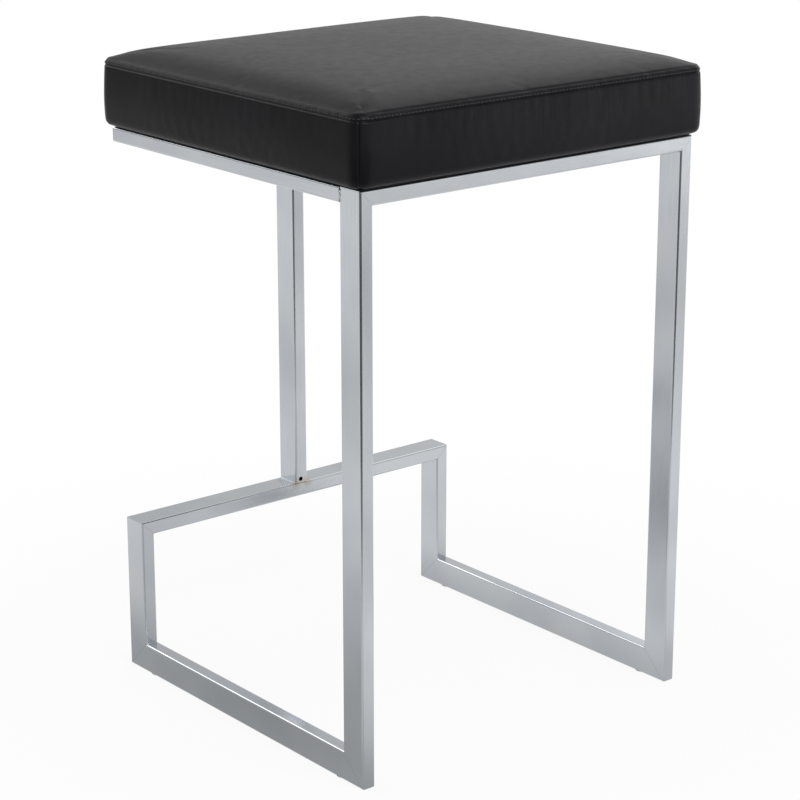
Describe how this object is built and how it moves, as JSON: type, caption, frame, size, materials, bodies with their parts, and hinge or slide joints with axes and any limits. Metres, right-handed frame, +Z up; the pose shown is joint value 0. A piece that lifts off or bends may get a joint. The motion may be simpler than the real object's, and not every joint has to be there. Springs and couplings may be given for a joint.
{
  "type": "backless bar stool",
  "caption": "Backless bar stool: a nearly square crowned seat pad with a seamed side band, on an open frame of mitred rectangular tube with a low footrest bar and a centre post.",
  "frame": {"origin": "on the floor, under the centre of the seat's outline", "axes": "+Z up, +X to the right as seen from the front, -Y towards the front, which is the side with the footrest bar"},
  "size_m": [0.44, 0.42, 0.67],
  "materials": {
    "frame_tube": "satin-bright plated steel tube",
    "leatherette": "black grained faux leather, semi-matt",
    "plywood": "bare plywood",
    "foam": "cut polyurethane foam",
    "dust_cloth": "black non-woven cloth",
    "nylon": "natural moulded nylon",
    "zinc_steel": "bright zinc plated"
  },
  "bodies": {
    "root": {"back_right_leg": "frame_tube", "back_left_leg": "frame_tube", "back_top_rail": "frame_tube", "front_top_rail": "frame_tube", "right_top_rail": "frame_tube", "left_top_rail": "frame_tube", "right_floor_rail": "frame_tube", "left_floor_rail": "frame_tube", "right_footrest_upright": "frame_tube", "left_footrest_upright": "frame_tube", "footrest_bar": "frame_tube", "centre_post": "frame_tube", "floor_glides": "nylon", "seat_board": "plywood", "seat_foam": "foam", "cover_top_panel": "leatherette", "cover_right_band": "leatherette", "cover_back_band": "leatherette", "cover_left_band": "leatherette", "cover_front_band": "leatherette", "dust_cover": "dust_cloth", "t_nuts": "zinc_steel", "washers": "zinc_steel", "seat_bolts": "zinc_steel"}
  },
  "joints": []
}
